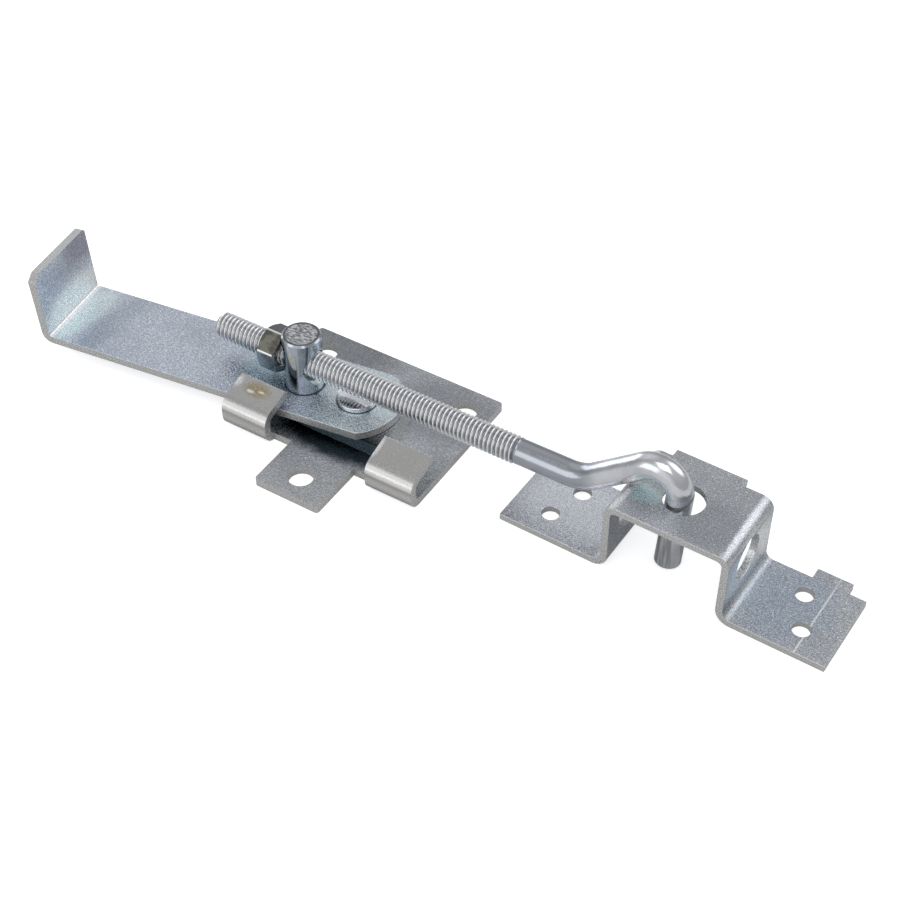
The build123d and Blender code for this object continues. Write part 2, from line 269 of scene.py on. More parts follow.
class LatchColours(bpy.types.PropertyGroup):
    """Colours of the zinc plating."""

    sheet: bpy.props.FloatVectorProperty(
        name="Sheet",
        description="Plating on the flat faces of the plate and the keeper",
        default=(0.55, 0.57, 0.61),
        min=0,
        max=1,
        subtype="COLOR",
    )
    lever: bpy.props.FloatVectorProperty(
        name="Lever",
        description="Plating on the lever, with its blue cast",
        default=(0.62, 0.68, 0.78),
        min=0,
        max=1,
        subtype="COLOR",
    )
    edge: bpy.props.FloatVectorProperty(
        name="Cut edge",
        description="Plating on the sheared edges of the sheets",
        default=(0.52, 0.52, 0.51),
        min=0,
        max=1,
        subtype="COLOR",
    )
    turned: bpy.props.FloatVectorProperty(
        name="Turned parts",
        description="Plating on the rod, the post and the rivet",
        default=(0.68, 0.69, 0.72),
        min=0,
        max=1,
        subtype="COLOR",
    )
    nut: bpy.props.FloatVectorProperty(
        name="Nut",
        description="Plating on the nut, with its olive cast",
        default=(0.34, 0.37, 0.40),
        min=0,
        max=1,
        subtype="COLOR",
    )


class LatchStage(bpy.types.PropertyGroup):
    """Floor and light of the studio."""

    floor_tone: bpy.props.FloatProperty(
        name="Floor tone",
        description="Lightness of the floor",
        default=0.75,
        min=0,
        max=1,
        subtype="FACTOR",
    )
    sky: bpy.props.FloatProperty(
        name="Sky strength",
        description="Strength of the light from all round",
        default=1.0,
        min=0,
        max=5,
    )


# Meshes


def grid_faces(rows, columns):
    """Quads between the rows of a grid whose columns close on themselves."""
    here = np.arange(rows * columns).reshape(rows, columns)
    right = np.roll(here, -1, axis=1)
    return np.stack((here[:-1], right[:-1], right[1:], here[1:]), axis=-1).reshape(-1, 4)


def closed_surface(name, rings, smooth_angle, **values):
    """Piece from rings of points, one row each, with a flat cap on the first and last ring.

    Each named value is an array over the rings' points and becomes an attribute of the mesh.
    """
    rows, columns = rings.shape[:2]
    faces = grid_faces(rows, columns).tolist()
    faces.append(np.arange(columns)[::-1].tolist())
    faces.append(((rows - 1) * columns + np.arange(columns)).tolist())
    mesh = bpy.data.meshes.new(name)
    mesh.from_pydata(rings.reshape(-1, 3).tolist(), [], faces)
    for label, value in values.items():
        layer = mesh.attributes.new(label, "FLOAT", "POINT")
        layer.data.foreach_set("value", value.astype(np.float32).ravel())
    return finished(name, mesh, smooth_angle)


def looped_surface(name, rings, smooth_angle):
    """Piece from rings of points whose last ring joins the first, as round a bored nut."""
    rings = np.concatenate((rings, rings[:1]))
    rows, columns = rings.shape[:2]
    mesh = bpy.data.meshes.new(name)
    mesh.from_pydata(rings.reshape(-1, 3).tolist(), [], grid_faces(rows, columns).tolist())
    return finished(name, mesh, smooth_angle)


def finished(name, mesh, smooth_angle):
    """Object of a mesh, its doubles merged, its faces turned outwards and its sharp edges kept."""
    work = bmesh.new()
    work.from_mesh(mesh)
    bmesh.ops.remove_doubles(work, verts=work.verts, dist=MERGE_DISTANCE)
    bmesh.ops.recalc_face_normals(work, faces=work.faces)
    work.to_mesh(mesh)
    work.free()
    mesh.shade_smooth()
    mesh.set_sharp_from_angle(angle=smooth_angle)
    piece = bpy.data.objects.new(name, mesh)
    bpy.context.scene.collection.objects.link(piece)
    return piece


def sheet_copy(name, node, edge_round, cut_faces):
    """Merged copy of a CAD node with rounded edges, its sheared faces marked by the cut attribute.

    cut_faces takes the face centres and normals as arrays and returns true where a face is sheared.
    """
    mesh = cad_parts[node].data.copy()
    mesh.name = name
    if "custom_normal" in mesh.attributes:
        mesh.attributes.remove(mesh.attributes["custom_normal"])
    work = bmesh.new()
    work.from_mesh(mesh)
    bmesh.ops.remove_doubles(work, verts=work.verts, dist=MERGE_DISTANCE)
    bmesh.ops.dissolve_limit(
        work,
        angle_limit=FLAT_ANGLE,
        use_dissolve_boundaries=False,
        verts=work.verts,
        edges=work.edges,
    )
    work.to_mesh(mesh)
    work.free()
    mesh.materials.clear()
    mesh.shade_smooth()
    mesh.set_sharp_from_angle(angle=SHARP_ANGLE)
    count = len(mesh.polygons)
    centres = np.empty(count * 3)
    normals = np.empty(count * 3)
    mesh.polygons.foreach_get("center", centres)
    mesh.polygons.foreach_get("normal", normals)
    cut = cut_faces(centres.reshape(-1, 3), normals.reshape(-1, 3))
    layer = mesh.attributes.new("cut", "FLOAT", "FACE")
    layer.data.foreach_set("value", cut.astype(np.float32))
    piece = bpy.data.objects.new(name, mesh)
    bpy.context.scene.collection.objects.link(piece)
    bevel = piece.modifiers.new("rounded edges", "BEVEL")
    bevel.width = edge_round
    bevel.segments = BEVEL_SEGMENTS
    bevel.limit_method = "ANGLE"
    bevel.angle_limit = BEVEL_ANGLE
    bevel.harden_normals = True
    return piece


def turned_axes(turn):
    """Unit vectors along and across a strip that is turned about Z."""
    along = np.array((math.cos(turn), math.sin(turn), 0.0))
    across = np.array((-math.sin(turn), math.cos(turn), 0.0))
    return along, across


def sheared(centres, normals, across, top):
    """True for the faces that look across a strip, and for the upright ones below its top."""
    side = np.abs(normals @ across) > FACING
    upright = (np.abs(normals[:, 2]) < UPRIGHT) & (centres[:, 2] < top)
    return side | upright


def worn(piece, node, body, material):
    """Gives a piece its material, body and slot, and lets it stand for its CAD node."""
    piece.data.materials.append(material)
    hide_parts(node)
    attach(piece, body)


# Materials


def new_group(name, inputs, outputs):
    """Empty node group with named sockets, its node maker, and its input and output nodes."""
    tree = bpy.data.node_groups.new(name, "ShaderNodeTree")
    for label, kind in inputs:
        tree.interface.new_socket(label, in_out="INPUT", socket_type=kind)
    for label in outputs:
        tree.interface.new_socket(label, in_out="OUTPUT", socket_type="NodeSocketFloat")
    make = NodeMaker(tree)
    given = make.nodes.new("NodeGroupInput").outputs
    results = make.nodes.new("NodeGroupOutput").inputs
    return tree, make, given, results


def grain_group():
    """Values for plated metal: a fine even Grain, a broad cloudy Patch and a sparse bright Spark."""
    name = "plated grain"
    if name in bpy.data.node_groups:
        return bpy.data.node_groups[name]
    sizes = (("Grain Scale", "NodeSocketFloat"), ("Patch Scale", "NodeSocketFloat"))
    tree, make, given, results = new_group(name, sizes, ("Grain", "Patch", "Spark"))
    place = make.nodes.new("ShaderNodeTexCoord").outputs["Object"]
    slanted = make.nodes.new("ShaderNodeMapping")
    slanted.inputs["Rotation"].default_value = (0.0, 0.0, math.radians(35))
    slanted.inputs["Scale"].default_value = (0.5, 1.4, 1.0)
    make.feed(place, slanted.inputs["Vector"])
    for label, where, size, detail, low, high in (
        ("Grain", place, "Grain Scale", 2.0, 0.34, 0.66),
        ("Patch", place, "Patch Scale", 3.0, 0.30, 0.70),
        ("Spark", slanted.outputs[0], "Grain Scale", 1.0, 0.54, 0.74),
    ):
        make.feed(make.ramp(make.noise(where, given[size], detail), low, high), results[label])
    return tree


def spot_group():
    """Mask of a soft spot: 1 near the centre, 0 past the reach, its rim made ragged by noise."""
    name = "soft spot"
    if name in bpy.data.node_groups:
        return bpy.data.node_groups[name]
    kinds = (("Centre", "NodeSocketVector"), ("Reach", "NodeSocketVector"), ("Ragged", "NodeSocketFloat"))
    tree, make, given, results = new_group(name, kinds, ("Mask",))
    place = make.nodes.new("ShaderNodeTexCoord").outputs["Object"]
    away = make.vector_maths("SUBTRACT", place, given["Centre"])["Vector"]
    share = make.vector_maths("DIVIDE", away, given["Reach"])["Vector"]
    far = make.vector_maths("LENGTH", share)["Value"]
    uneven = make.maths("SUBTRACT", make.noise(place, 400.0, 3.0), 0.5)
    rim = make.maths("MULTIPLY_ADD", uneven, given["Ragged"], far)
    make.feed(make.ramp(rim, 0.45, 1.0, 1.0, 0.0), results["Mask"])
    return tree


class NodeMaker:
    """Adds nodes to a material's, a group's or the world's tree."""

    def __init__(self, tree):
        self.nodes = tree.nodes
        self.links = tree.links

    def feed(self, value, socket):
        """Puts a number, a colour, a vector or another socket into a socket."""
        if isinstance(value, bpy.types.NodeSocket):
            self.links.new(value, socket)
        elif isinstance(value, (int, float)):
            socket.default_value = value
        elif socket.type == "RGBA":
            socket.default_value = (*value, 1.0)
        else:
            socket.default_value = value

    def maths(self, operation, first, second=None, third=None):
        """Math node of one to three values, each a number or a socket."""
        node = self.nodes.new("ShaderNodeMath")
        node.operation = operation
        for place, value in enumerate((first, second, third)):
            if value is not None:
                self.feed(value, node.inputs[place])
        return node.outputs[0]

    def vector_maths(self, operation, first, second=None):
        """Vector Math node's outputs for one or two vectors."""
        node = self.nodes.new("ShaderNodeVectorMath")
        node.operation = operation
        self.feed(first, node.inputs[0])
        if second is not None:
            self.feed(second, node.inputs[1])
        return node.outputs

    def product(self, *masks):
        """Several masks multiplied."""
        result = masks[0]
        for mask in masks[1:]:
            result = self.maths("MULTIPLY", result, mask)
        return result

    def blend(self, factor, first, second, kind="MIX"):
        """Colour that goes from the first to the second as the factor goes from 0 to 1."""
        node = self.nodes.new("ShaderNodeMix")
        node.data_type = "RGBA"
        node.blend_type = kind
        self.feed(factor, node.inputs["Factor"])
        first_colour, second_colour = node.inputs[6], node.inputs[7]
        self.feed(first, first_colour)
        self.feed(second, second_colour)
        return node.outputs[2]

    def ramp(self, value, low, high, start=0.0, end=1.0):
        """The start value below low, the end value above high and a smooth change between them."""
        node = self.nodes.new("ShaderNodeMapRange")
        node.interpolation_type = "SMOOTHSTEP"
        for label, number in (("From Min", low), ("From Max", high), ("To Min", start), ("To Max", end)):
            node.inputs[label].default_value = number
        self.feed(value, node.inputs["Value"])
        return node.outputs["Result"]

    def noise(self, place, scale, detail=2.0):
        """Values of a noise texture."""
        node = self.nodes.new("ShaderNodeTexNoise")
        node.inputs["Detail"].default_value = detail
        node.inputs["Roughness"].default_value = 0.6
        self.feed(place, node.inputs["Vector"])
        self.feed(scale, node.inputs["Scale"])
        return node.outputs["Fac"]

    def split(self, vector):
        """X, Y and Z of a vector."""
        node = self.nodes.new("ShaderNodeSeparateXYZ")
        self.feed(vector, node.inputs[0])
        return node.outputs


class Shader(NodeMaker):
    """Builds one material's nodes around a Principled shader."""

    def __init__(self, name, metallic, roughness):
        self.material = bpy.data.materials.new(name)
        self.material.use_nodes = True
        super().__init__(self.material.node_tree)
        self.shader = self.nodes["Principled BSDF"]
        self.shader.inputs["Metallic"].default_value = metallic
        self.shader.inputs["Roughness"].default_value = roughness
        self.object_place = self.nodes.new("ShaderNodeTexCoord").outputs["Object"]
        self.grain = None
        self.rough_extra = 0.0
        self.smooth = 0.0

    def place(self):
        """X, Y and Z of the surface in the row frame, in metres."""
        return self.split(self.object_place)

    def group(self, tree, **values):
        """Outputs of a node group with its inputs set by name, underscores for spaces."""
        node = self.nodes.new("ShaderNodeGroup")
        node.node_tree = tree
        for label, value in values.items():
            self.feed(value, node.inputs[label.replace("_", " ")])
        return node.outputs

    def attribute(self, name):
        """Value of a mesh attribute."""
        node = self.nodes.new("ShaderNodeAttribute")
        node.attribute_name = name
        return node.outputs["Fac"]

    def spot(self, centre, reach, ragged=0.3):
        """Soft-edged mask round a place, given in millimetres with its reach along X, Y and Z."""
        scaled = [Vector(part) * MM for part in (centre, reach)]
        return self.group(spot_group(), Centre=scaled[0], Reach=scaled[1], Ragged=ragged)["Mask"]

    def ring(self, x, y, radius, width):
        """Soft-edged mask on a ring about an upright axis, sizes in metres."""
        where = self.place()
        across = self.maths("SUBTRACT", where["X"], x)
        along = self.maths("SUBTRACT", where["Y"], y)
        squared = self.maths("MULTIPLY_ADD", across, across, self.maths("MULTIPLY", along, along))
        off = self.maths("ABSOLUTE", self.maths("SUBTRACT", self.maths("SQRT", squared), radius))
        return self.ramp(off, 0.0, width, 1.0, 0.0)

    def bump(self, height, depth):
        """Roughens the surface by a height between 0 and 1 times a depth in metres."""
        node = self.nodes.new("ShaderNodeBump")
        node.inputs["Strength"].default_value = 1.0
        node.inputs["Distance"].default_value = depth
        self.feed(height, node.inputs["Height"])
        self.links.new(node.outputs["Normal"], self.shader.inputs["Normal"])

    def colour(self, value):
        """Feeds the base colour."""
        self.feed(value, self.shader.inputs["Base Color"])

    def roughness(self, value):
        """Feeds the roughness."""
        self.feed(value, self.shader.inputs["Roughness"])


def tinted(colour, amount):
    """A colour made lighter or darker by a factor, held within 0 and 1."""
    return tuple(min(1.0, part * amount) for part in colour)


def stained_and_lit(paint, face, stains_and_light, sparks):
    """Colour with soft flecked spots of staining and of painted highlight, reflection and shade, each given
    by its centre, reach, colour and strength.
    """
    grain = paint.grain["Grain"]
    for centre, reach, tone, strength in stains_and_light:
        mask = paint.maths("MULTIPLY", paint.spot(centre, reach), strength)
        flecked = paint.blend(grain, tinted(tone, 0.70), tinted(tone, 1.10))
        face = paint.blend(mask, face, paint.blend(sparks, flecked, tinted(tone, STAIN_SPARK_TONE)))
    return face


def sheet_material(name, colour, edge, grain_scale, fleck, stains_and_light, marks, late_stains_and_highlights=()):
    """Zinc plated sheet: flecked faces with cloudy patches, spots of staining and of painted light and
    shade, and plain sheared edges.

    The marks function adds more to the colour, given the shader and the colour so far, and the late spots of
    staining and painted highlight lie over it. The sheared edges are less metallic, so that they take light
    from all round.
    """
    paint = Shader(name, metallic=1.0, roughness=0.3)
    paint.grain = paint.group(grain_group(), Grain_Scale=grain_scale, Patch_Scale=70.0)
    grain = paint.grain
    cloudy = paint.blend(grain["Patch"], tinted(colour, 0.86), tinted(colour, 1.10))
    speckled = paint.blend(grain["Grain"], tinted(colour, 0.62), cloudy)
    sparks = paint.maths("MULTIPLY", grain["Spark"], fleck)
    face = paint.blend(sparks, speckled, tinted(colour, SPARK_TONE))
    face = marks(paint, stained_and_lit(paint, face, stains_and_light, sparks))
    face = stained_and_lit(paint, face, late_stains_and_highlights, sparks)
    sheared = paint.blend(grain["Grain"], tinted(edge, 0.88), tinted(edge, 1.02))
    cut = paint.attribute("cut")
    paint.colour(paint.blend(cut, face, sheared))
    metallic = paint.maths("MULTIPLY_ADD", cut, -EDGE_METAL_LOSS, 1.0)
    paint.feed(metallic, paint.shader.inputs["Metallic"])
    paint.roughness(paint.maths("MULTIPLY_ADD", grain["Grain"], 0.12, 0.20))
    height = paint.maths("MULTIPLY_ADD", grain["Spark"], 0.8, grain["Grain"])
    smooth = paint.maths("MAXIMUM", paint.maths("MULTIPLY", cut, EDGE_SMOOTHNESS), paint.smooth)
    rough_share = paint.maths("SUBTRACT", 1.0, smooth)
    paint.bump(paint.maths("MULTIPLY", height, rough_share), fleck * GRAIN_DEPTH)
    return paint.material


def turned_material(name, colour, rough, grain_depth, marks=None):
    """Bright plating on a turned or drawn part, with faint clouds."""
    paint = Shader(name, metallic=1.0, roughness=rough)
    grain = paint.group(grain_group(), Grain_Scale=1100.0, Patch_Scale=120.0)
    face = paint.blend(grain["Patch"], tinted(colour, 0.86), tinted(colour, 1.06))
    if marks:
        face = marks(paint, face)
    paint.colour(face)
    uneven = paint.maths("MULTIPLY_ADD", grain["Grain"], 0.08, rough - 0.03)
    paint.roughness(paint.maths("ADD", paint.rough_extra, uneven))
    paint.bump(grain["Grain"], grain_depth)
    return paint.material


def plate_marks(paint, face):
    """Warm plating on the curled ears: painted shade at the foot of each wall and below its knee, a painted
    highlight along each bend and greyer lips.
    """
    where = paint.place()
    high = paint.ramp(where["Z"], PLATE_T, 1.2 * PLATE_T)
    front = paint.ramp(where["Y"], EAR_BACK - 0.4 * MM, EAR_BACK + 0.4 * MM, 1.0, 0.0)
    # Painted shade at the foot of each wall and again below its knee
    wall = paint.blend(paint.ramp(where["Z"], *EAR_FOOT_SHADE), tinted(WALL_COLOUR, 0.6), WALL_COLOUR)
    wall = paint.blend(paint.ramp(where["Z"], *EAR_SHADE), wall, tinted(WALL_COLOUR, 0.7))
    walls = paint.blend(paint.ramp(where["Z"], EAR_KNEE_Z, EAR_KNEE_Z + 2.0 * MM), wall, LIP_COLOUR)
    # Painted highlight along the bend at the knee
    off = paint.maths("ABSOLUTE", paint.maths("SUBTRACT", where["Z"], EAR_KNEE_Z))
    lit = paint.blend(paint.ramp(off, *EAR_GLINT, 0.9, 0.0), walls, BEND_HIGHLIGHT_COLOUR)
    strength = paint.ramp(where["X"], *EAR_SPLIT, 0.88, 0.97)
    ears = paint.product(high, front, strength)
    paint.smooth = paint.maths("MULTIPLY", ears, EAR_SMOOTHNESS)
    return paint.blend(ears, face, lit)


def lever_marks(paint, face):
    """Painted contact shadows in rings where the post and the rivet bear on the lever, and a painted
    highlight along the tab's fold.
    """
    where = paint.place()
    along, _ = turned_axes(LEVER_TURN)
    run = paint.maths("MULTIPLY_ADD", where["Y"], float(along[1] / along[0]), where["X"])
    off = paint.maths("ABSOLUTE", paint.maths("SUBTRACT", run, FOLD_X / float(along[0])))
    # Painted highlight along the tab's fold
    fold = paint.ramp(off, 0.5 * MM, 1.1 * MM, 1.0, 0.0)
    # Painted contact shadows round the feet of the post and the rivet
    post = paint.ring(POST_X, POST_Y, POST_R, 0.9 * MM)
    rivet = paint.ring(0.0, 0.0, RIVET_HEAD_R, 0.8 * MM)
    contact_shadow = paint.maths("MULTIPLY", paint.maths("MAXIMUM", post, rivet), CONTACT_SHADOW_STRENGTH)
    return paint.blend(contact_shadow, paint.blend(fold, face, HIGHLIGHT_AND_SCRIBE_COLOUR), SHADOW_COLOUR)


def keeper_marks(paint, face):
    """Light scribed line across the right flange."""
    where = paint.place()
    along, _ = turned_axes(KEEPER_TURN)
    run = paint.maths("MULTIPLY_ADD", where["Y"], float(along[1]), where["X"])
    off = paint.maths("ABSOLUTE", paint.maths("SUBTRACT", run, SCRIBE_X))
    line = paint.ramp(off, 0.14 * MM, 0.4 * MM, 1.0, 0.0)
    uneven = paint.ramp(paint.noise(paint.object_place, 220.0), 0.35, 0.5, 0.35, 0.85)
    return paint.blend(paint.product(line, uneven), face, HIGHLIGHT_AND_SCRIBE_COLOUR)


def nut_marks(paint, face):
    """Painted shade on the nut's upper faces, olive on the upper front face and navy on its top and back,
    and painted highlights on its corners.
    """
    where = paint.place()
    # Painted shade on the upper faces: olive at the front, navy behind
    low = NUT_CORNER_R * math.cos(NUT_TURN + math.pi / 3)
    height = paint.maths("SUBTRACT", where["Z"], ROD_Z + low)
    depth = paint.maths("SUBTRACT", where["Y"], POST_Y - NUT_CORNER_R * math.sin(NUT_TURN))
    upper = paint.ramp(height, -0.1 * MM, 0.1 * MM)
    front = paint.ramp(depth, -0.1 * MM, 0.1 * MM, 1.0, 0.0)
    cloud = paint.ramp(paint.noise(paint.object_place, 260.0), 0.4, 0.62)
    olive = paint.blend(cloud, tinted(OLIVE_SHADE_COLOUR, 0.8), tinted(OLIVE_SHADE_COLOUR, 1.9))
    tone = paint.blend(paint.product(upper, front, 0.9), face, olive)
    behind = paint.maths("SUBTRACT", 1.0, front)
    tone = paint.blend(paint.product(upper, behind, 0.9), tone, NAVY_SHADE_COLOUR)
    # Painted highlights on the corners
    y = paint.maths("SUBTRACT", where["Y"], POST_Y)
    z = paint.maths("SUBTRACT", where["Z"], ROD_Z)
    squared = paint.maths("MULTIPLY_ADD", y, y, paint.maths("MULTIPLY", z, z))
    low_share, full_share = NUT_GLINT
    corner_highlight = paint.ramp(paint.maths("SQRT", squared), low_share * NUT_CORNER_R, full_share * NUT_CORNER_R)
    return paint.blend(paint.maths("MULTIPLY", corner_highlight, 0.8), tone, HIGHLIGHT_AND_SCRIBE_COLOUR)


def rod_marks(paint, face):
    """Painted shade in the thread's roots, a near-white colour on the threaded length as a painted highlight
    on its rough crests, a duller straight shank and a streaked leg.
    """
    where = paint.place()
    x = where["X"]
    thread_end = POST_X + THREAD_RIGHT
    bend = POST_X + INCLINE_X
    threaded = paint.ramp(x, thread_end, thread_end + MM, 1.0, 0.0)
    paint.rough_extra = paint.maths("MULTIPLY", threaded, 0.07)
    past_thread = paint.ramp(x, thread_end, thread_end + MM)
    before_bend = paint.ramp(x, bend, bend + 8 * MM, 0.8, 0.0)
    dulled = paint.blend(paint.product(past_thread, before_bend), face, SHANK_COLOUR)
    # Near-white colour of the threaded length: painted highlight on its crests
    crest = paint.blend(threaded, dulled, CREST_HIGHLIGHT_COLOUR)
    stretched = paint.nodes.new("ShaderNodeMapping")
    stretched.inputs["Scale"].default_value = (1.0, 1.0, 0.06)
    paint.feed(paint.object_place, stretched.inputs["Vector"])
    streak = paint.ramp(paint.noise(stretched.outputs[0], 330.0), 0.47, 0.56)
    low = paint.ramp(where["Z"], ROD_Z, ROD_Z + 4 * MM, 0.6, 0.0)
    leg = paint.product(streak, low, paint.ramp(x, bend, bend + 8 * MM))
    crest = paint.blend(leg, crest, tinted(SHANK_COLOUR, 0.5))
    # Painted shade in the thread's roots
    return paint.blend(paint.maths("MULTIPLY", paint.attribute("valley"), 0.8), crest, ROOT_SHADE_COLOUR)


def post_material(colour):
    """Bright turned post with a rough sheared top, darker round its rim, and a painted highlight inside its
    cross hole.
    """
    paint = Shader("post zinc", metallic=1.0, roughness=0.14)
    grain = paint.group(grain_group(), Grain_Scale=900.0, Patch_Scale=150.0)
    top = paint.attribute("cut")
    slanted = paint.nodes.new("ShaderNodeMapping")
    slanted.inputs["Rotation"].default_value = (0.0, 0.0, math.radians(-25))
    slanted.inputs["Scale"].default_value = (1.0, 2.6, 1.0)
    paint.feed(paint.object_place, slanted.inputs["Vector"])
    torn = paint.noise(slanted.outputs[0], 620.0, 4.0)
    rim = paint.ring(POST_X, POST_Y, POST_R - 0.9 * MM, 0.9 * MM)
    rough_top = paint.blend(paint.ramp(torn, 0.38, 0.66), tinted(colour, 0.30), tinted(colour, 1.1))
    rough_top = paint.blend(rim, rough_top, tinted(colour, 0.16))
    plain = paint.blend(grain["Patch"], *POST_COLOURS)
    # Painted highlight inside the cross hole
    inside = paint.maths("SUBTRACT", 1.0, paint.ring(POST_X, POST_Y, POST_R, 0.5 * MM))
    high = paint.place()["Z"]
    hole = paint.product(inside, paint.ramp(high, *HOLE_FOOT), paint.ramp(high, *HOLE_TOP, 1.0, 0.0))
    plain = paint.blend(hole, plain, HOLE_HIGHLIGHT_COLOUR)
    paint.feed(paint.maths("MULTIPLY_ADD", hole, -0.6, 1.0), paint.shader.inputs["Metallic"])
    paint.colour(paint.blend(top, plain, rough_top))
    paint.roughness(paint.maths("MULTIPLY_ADD", top, 0.2, 0.12))
    paint.bump(paint.maths("MULTIPLY", torn, top), 0.5 * MM)
    return paint.material


# Pieces


def rod_bends():
    """Distances along the rod at which each bend starts and ends, and the angle that the hook turns."""
    bend_start = INCLINE_X - INCLINE_R * math.tan(INCLINE_RISE / 2)
    hook_turn = INCLINE_RISE + math.pi / 2 + LEG_LEAN
    starts = np.cumsum((bend_start, INCLINE_R * INCLINE_RISE, INCLINE_LENGTH, HOOK_R * hook_turn))
    return starts, hook_turn


def rod_line(along):
    """Middle line of the rod at distances along it: the place along X, the height and the heading's angle.

    The heading is level on the straight, rises steadily through the first bend, holds on the incline, falls
    steadily through the hook and holds on the leg. The line is the running sum of the heading's direction.
    """
    starts, hook_turn = rod_bends()
    fine = np.linspace(-ROD_LEFT, starts[-1] + 2 * ROD_Z, LINE_STEPS)
    heading = np.interp(fine, starts, (0.0, INCLINE_RISE, INCLINE_RISE, INCLINE_RISE - hook_turn))
    step = fine[1] - fine[0]
    forward, upward = (
        np.concatenate(((0.0,), np.cumsum((part[1:] + part[:-1]) / 2 * step)))
        for part in (np.cos(heading), np.sin(heading))
    )
    x = np.interp(along, fine, forward) - ROD_LEFT
    z = np.interp(along, fine, upward)
    return x, z, np.interp(along, fine, heading)


def rod_length():
    """Distance along the rod at which its leg ends, just over the mounting plane."""
    starts, _ = rod_bends()
    leg_start = starts[-1]
    _, height, _ = rod_line(leg_start)
    fall = ROD_Z + height - FOOT_GAP - SHANK_R * math.sin(LEG_LEAN)
    return float(leg_start + fall / math.cos(LEG_LEAN))


def rod_rings(pitch, depth):
    """Rings of the rod: the section carried along the line, its radius cut by a helical thread.

    The thread is a right-hand V with flat crests and rounded roots: how deep it cuts depends only on the
    distance along less the angle's share of one pitch. The chamfer, the run-out and the foot cap the radius.
    """
    end = rod_length()
    threaded = np.arange(-ROD_LEFT, THREAD_RIGHT + THREAD_RUNOUT, pitch / TURN_RINGS)
    plain = np.linspace(THREAD_RIGHT + THREAD_RUNOUT, end, BENT_RINGS)
    along = np.unique(np.concatenate((threaded, plain, (end - FOOT_CHAMFER, -ROD_LEFT + THREAD_CHAMFER))))
    angle = np.linspace(0, 2 * math.pi, ROD_SIDES, endpoint=False)
    turn = (along[:, None] / pitch - angle[None, :] / (2 * math.pi)) % 1.0
    valley = np.clip((1 - np.abs(2 * turn - 1)) * 1.25 - 0.12, 0, 1)
    valley = valley * valley * (3 - 2 * valley) * 0.45 + valley * 0.55
    fade = np.clip((THREAD_RIGHT + THREAD_RUNOUT - along) / THREAD_RUNOUT, 0, 1)[:, None]
    core = SHANK_R + (THREAD_R - SHANK_R) * fade
    radius = core - depth * valley * np.minimum(1, 1.5 * fade)
    lead = THREAD_R - THREAD_CHAMFER + (along + ROD_LEFT)[:, None]
    foot = SHANK_R - FOOT_CHAMFER + (end - along)[:, None]
    radius = np.minimum(np.minimum(radius, lead), foot)
    x, z, heading = rod_line(along)
    outward_x = -np.sin(heading)[:, None] * np.cos(angle) * radius
    outward_z = np.cos(heading)[:, None] * np.cos(angle) * radius
    rings = rod_frame(x[:, None] + outward_x, -np.sin(angle) * radius, z[:, None] + outward_z)
    return rings, valley * np.minimum(1, 1.5 * fade)


def rod_frame(x, y, z):
    """Points given along, across and above the rod's axis at the post, in the row frame."""
    along, across = turned_axes(ROD_TURN)
    post = np.array((POST_X, POST_Y, ROD_Z))
    up = np.array((0.0, 0.0, 1.0))
    return post + x[..., None] * along + y[..., None] * across + z[..., None] * up


def nut_rings():
    """Rings of the nut, each at one place along it, as wide as the lesser of hexagon and chamfer.

    The hexagon's radius at an angle is half the flats over the cosine of the angle to the nearest flat.
    The chamfer's grows from half the flats at each face by the distance from that face over the tangent.
    """
    angle = np.linspace(0, 2 * math.pi, NUT_SIDES, endpoint=False)
    flat = (angle % (math.pi / 3)) - math.pi / 6
    hexagon = np.minimum(NUT_FLATS / 2 / np.cos(flat), NUT_CORNER_R)
    place = NUT_T * (1 - np.cos(np.linspace(0, math.pi, NUT_RINGS))) / 2
    from_face = np.minimum(place, NUT_T - place)
    cone = NUT_FLATS / 2 - 0.1 * MM + from_face / math.tan(NUT_CHAMFER)
    sides = np.minimum(hexagon[None, :], cone[:, None])
    mouth = NUT_BORE_R + NUT_SINK
    inner = ((NUT_T, mouth), (NUT_T - NUT_SINK, NUT_BORE_R), (NUT_SINK, NUT_BORE_R), (0.0, mouth))
    bore_radius = np.array([radius for _, radius in inner])[:, None] + 0 * angle
    radius = np.concatenate((sides, bore_radius))
    along = np.concatenate((place, [distance for distance, _ in inner]))[:, None] + 0 * angle
    turned = angle + NUT_TURN
    return rod_frame(NUT_RIGHT - along, -np.sin(turned) * radius, np.cos(turned) * radius)


def rivet_rings():
    """Rings of the rivet: a profile of radius against height, turned about Z.

    The head is a low dome whose height falls with the square of the radius, inside a rounded rim.
    """
    share = np.linspace(0, 1, 25)
    rim_z = RIVET_SEAT + RIVET_EDGE_H
    top = RIVET_SEAT + RIVET_HEAD_H
    dome_r = share * (RIVET_HEAD_R - RIVET_RIM)
    dome_z = top - (top - rim_z) * share**2
    bend = np.linspace(math.pi, 0, 9)
    rim_r = RIVET_HEAD_R - RIVET_RIM / 2 + RIVET_RIM / 2 * np.cos(bend)
    rim_round_z = rim_z - 0.1 * MM + RIVET_RIM / 2 * np.sin(bend)
    side_r = (RIVET_HEAD_R, RIVET_R, RIVET_R, RIVET_TAIL_R, RIVET_TAIL_R - RIVET_TAIL_SLOPE, TIP_R)
    side_z = (RIVET_SEAT, RIVET_SEAT, HOLLOW_Z, HOLLOW_Z, RIVET_TAIL_Z, RIVET_TAIL_Z)
    radius = np.maximum(np.concatenate((dome_r, rim_r, side_r)), TIP_R)[:, None]
    height = np.concatenate((dome_z, rim_round_z, side_z))[:, None]
    angle = np.linspace(0, 2 * math.pi, RIVET_SIDES, endpoint=False)
    return np.stack((radius * np.cos(angle), radius * np.sin(angle), height + 0 * angle), axis=-1)


